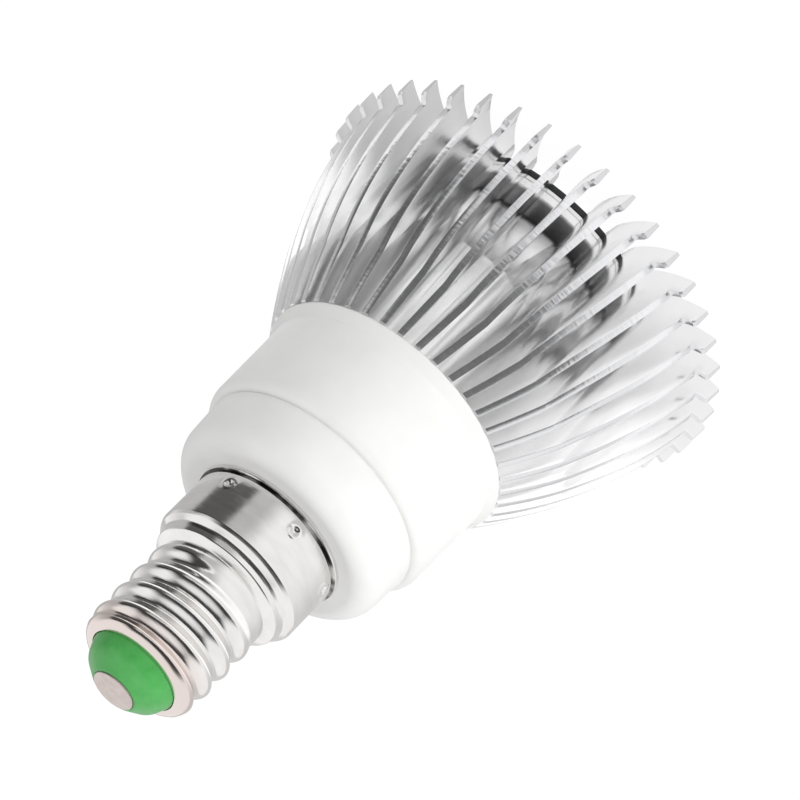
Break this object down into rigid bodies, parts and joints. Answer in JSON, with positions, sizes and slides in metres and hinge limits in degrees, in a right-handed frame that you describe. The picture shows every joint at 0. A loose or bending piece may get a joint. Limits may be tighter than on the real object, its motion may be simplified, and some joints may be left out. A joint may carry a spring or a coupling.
{
  "type": "grow light bulb",
  "caption": "Screw-cap LED grow lamp with a stepped white housing and a bell-shaped polished aluminium heat sink of swirled fins.",
  "frame": {"origin": "on the lamp's axis, in the plane of the fin ends at the crown", "axes": "+Z along the lamp's axis from the light-emitting front to the screw cap; X and Y across it"},
  "size_m": [0.0506, 0.0506, 0.068],
  "materials": {
    "polished_aluminium": "turned and polished, near mirror",
    "turned_aluminium": "turned, fine rings",
    "clear_plastic": "clear, polished",
    "white_board": "white solder mask",
    "grey_pad": "soft, matte",
    "red_led": "red light source in a pale case",
    "blue_led": "blue light source in a pale case",
    "zinc_steel": "zinc plated",
    "white_plastic": "white, satin moulded",
    "nickel_plate": "bright nickel plate with fine rolling marks",
    "green_insulator": "green, satin to gloss",
    "contact_nickel": "nickel plate, slightly warm",
    "film_sheet": "milky film",
    "green_board": "green solder mask",
    "red_epoxy": "dipped epoxy",
    "can_sleeve": "shrunk sleeve",
    "black_epoxy": "moulded epoxy",
    "choke_wrap": "black tube over the winding",
    "resistor_enamel": "blue-green enamel",
    "red_wire": "red insulated wire",
    "black_wire": "black insulated wire",
    "clear_sleeve": "translucent tube",
    "solder": "bright solder"
  },
  "bodies": {
    "root": {"heat_sink": "polished_aluminium", "cover_ring": "turned_aluminium", "clear_cover": "clear_plastic", "led_board": "white_board", "thermal_pad": "grey_pad", "red_leds": "red_led", "blue_leds": "blue_led", "board_screws": "zinc_steel", "housing_screws": "zinc_steel", "housing": "white_plastic", "cap_shell": "nickel_plate", "cap_insulator": "green_insulator", "centre_contact": "contact_nickel", "insulating_sheet": "film_sheet", "driver_board": "green_board", "film_capacitor": "red_epoxy", "output_capacitor": "can_sleeve", "rectifier": "black_epoxy", "driver_chip": "black_epoxy", "chip_resistors": "black_epoxy", "choke": "choke_wrap", "fuse_resistor": "resistor_enamel", "live_lead": "red_wire", "led_lead_positive": "red_wire", "neutral_lead": "black_wire", "led_lead_negative": "black_wire", "lead_sleeve": "clear_sleeve", "solder_joints": "solder"}
  },
  "joints": []
}
